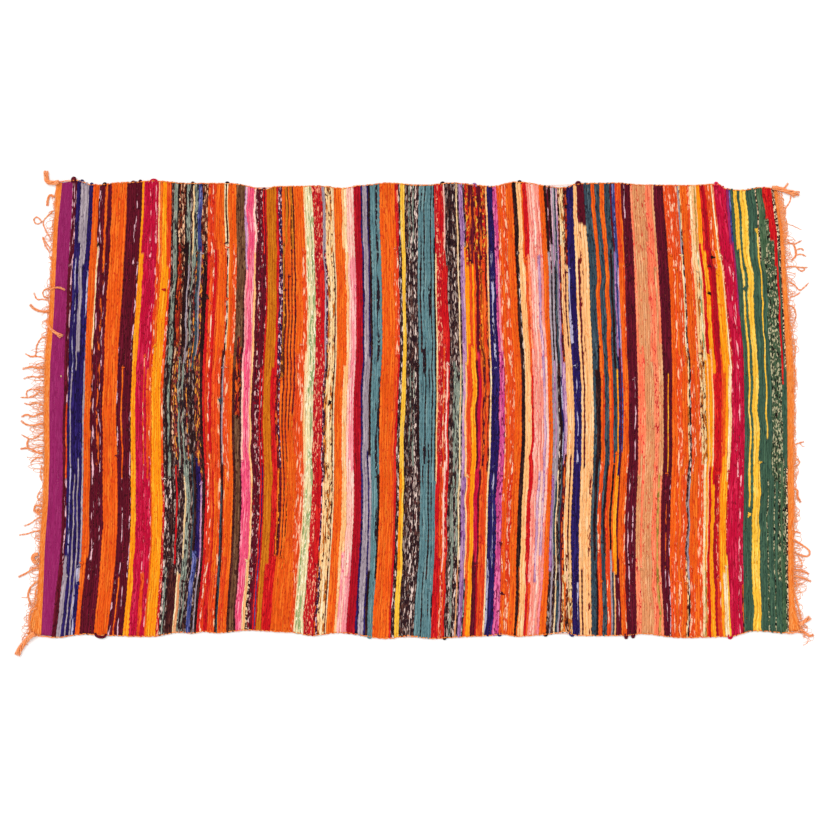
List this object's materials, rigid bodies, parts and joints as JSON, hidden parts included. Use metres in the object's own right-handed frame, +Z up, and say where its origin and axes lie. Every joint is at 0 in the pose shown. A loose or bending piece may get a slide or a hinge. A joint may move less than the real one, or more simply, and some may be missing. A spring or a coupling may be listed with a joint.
{
  "type": "rag rug",
  "caption": "Flat woven rag rug with lengthwise warp, crosswise rag stripes, wavy selvedges and a short loose warp fringe at each end.",
  "frame": {"origin": "on the floor, under the middle of the rug's outline", "axes": "+X along the warp, towards the end with the green band; +Y across the rug, along the rag stripes; +Z up, out of the face"},
  "size_m": [1.5897, 0.9744, 0.0054],
  "materials": {
    "rag_cloth": "woven cotton rags in many colours, orange the most common",
    "warp_yarn": "matt orange cotton yarn"
  },
  "bodies": {
    "root": {"rug_body": "rag_cloth", "fringe_left": "warp_yarn", "fringe_right": "warp_yarn"}
  },
  "joints": []
}
